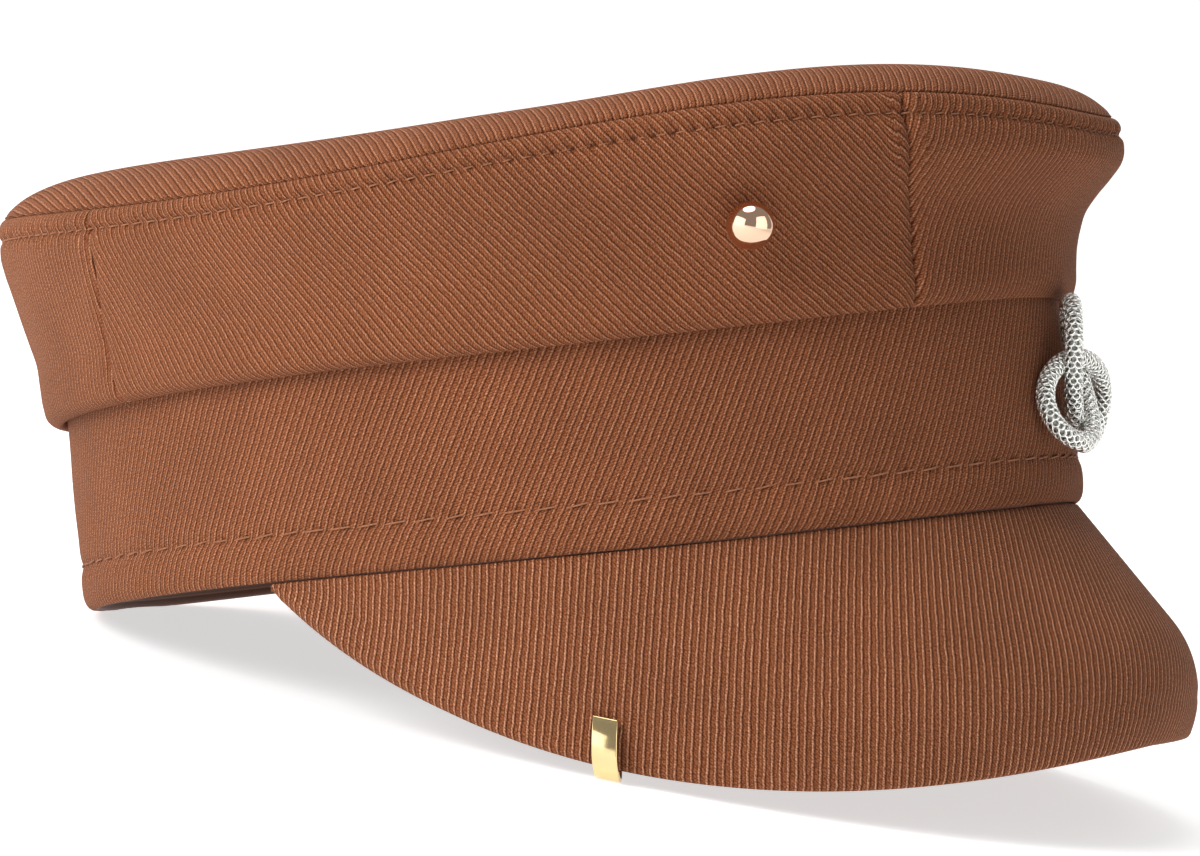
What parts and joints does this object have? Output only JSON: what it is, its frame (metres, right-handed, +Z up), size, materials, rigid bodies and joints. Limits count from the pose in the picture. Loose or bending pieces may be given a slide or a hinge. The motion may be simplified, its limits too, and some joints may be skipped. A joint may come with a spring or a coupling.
{
  "type": "baker boy cap with a knot ornament, ball stud and peak cuff",
  "caption": "Soft peaked cap with a stiff band, flared panelled crown, puffed round top, sloping peak and small metal trim.",
  "frame": {"origin": "centre of the cap's box, on the surface on which it rests", "axes": "+Z up, the peak points to -Y, the wearer's right side faces -X; the cap lies pitched back as it rests"},
  "size_m": [0.1864, 0.252, 0.1372],
  "materials": {
    "twill": "brown whipcord twill with raised slanting wales",
    "sweatband": "dark brown woven tape, matt",
    "rose_gold": "polished rose-gold plate",
    "gold": "polished yellow-gold plate",
    "silver": "bright silver-coloured chain"
  },
  "bodies": {
    "root": {"crown_top": "twill", "crown_front": "twill", "crown_side_right": "twill", "crown_side_left": "twill", "crown_back": "twill", "band": "twill", "peak": "twill", "sweatband": "sweatband", "ball_stud": "rose_gold", "peak_cuff": "gold", "chain_ornament": "silver"}
  },
  "joints": []
}
